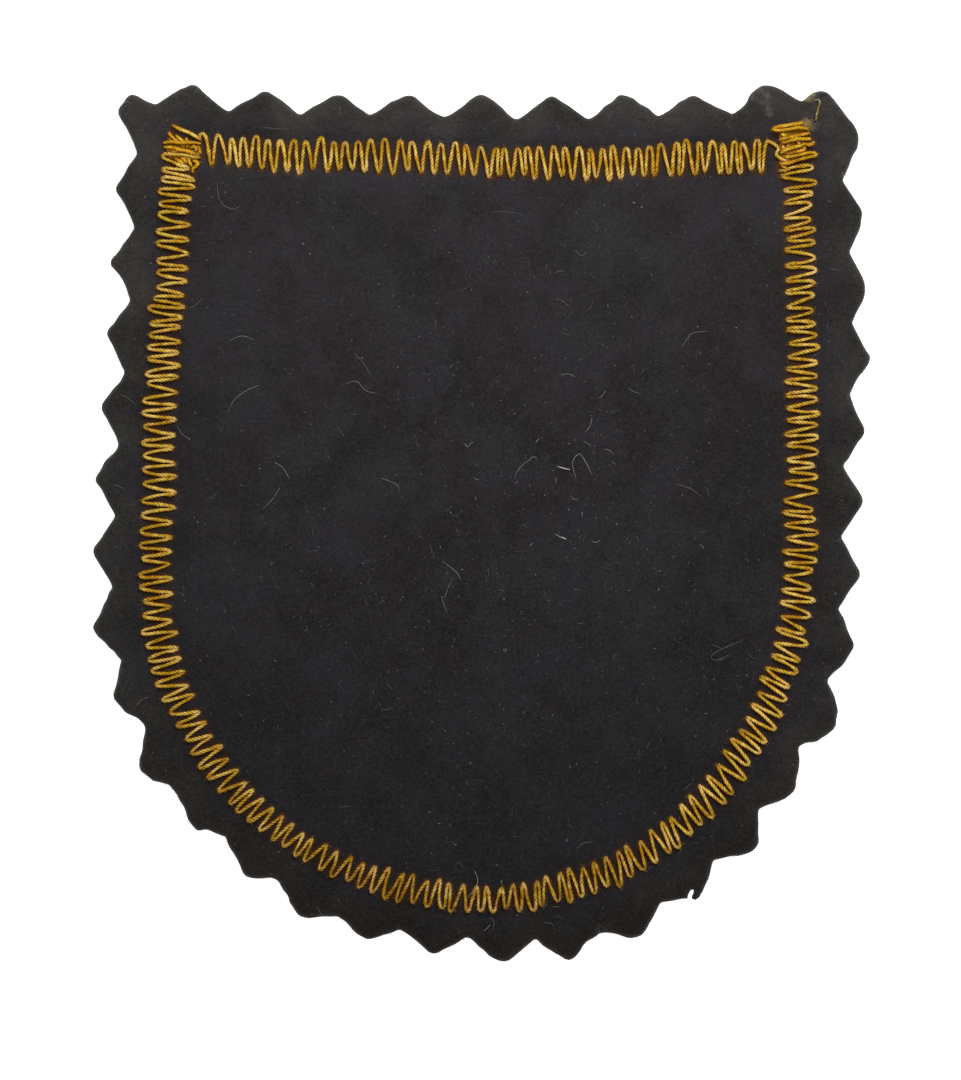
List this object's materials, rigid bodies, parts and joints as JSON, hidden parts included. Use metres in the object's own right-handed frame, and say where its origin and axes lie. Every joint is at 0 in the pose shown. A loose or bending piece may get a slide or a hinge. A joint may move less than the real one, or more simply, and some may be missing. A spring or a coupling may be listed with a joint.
{
  "type": "sew-on patch",
  "caption": "Flat felt shield patch with a pinked edge, bordered by a zigzag stitch row along the top and another down the sides and round the bottom, tacked at both top corners.",
  "frame": {"origin": "middle of the underside, under the centre of the patch's outline", "axes": "+Z out of the stitched face, +Y towards the straight top edge of the shield, +X to the right seen from the face"},
  "size_m": [0.0686, 0.0772, 0.0018],
  "materials": {
    "felt": "black pressed wool felt with loose pale fibres",
    "needle_thread": "twisted golden yellow cotton thread, matt with a slight sheen",
    "bobbin_thread": "thinner twisted golden yellow cotton thread, matt"
  },
  "bodies": {
    "root": {"felt_shield": "felt", "top_row": "needle_thread", "side_row": "needle_thread", "left_tack": "needle_thread", "right_tack": "needle_thread", "top_row_back": "bobbin_thread", "side_row_back": "bobbin_thread", "left_tack_back": "bobbin_thread", "right_tack_back": "bobbin_thread"}
  },
  "joints": []
}
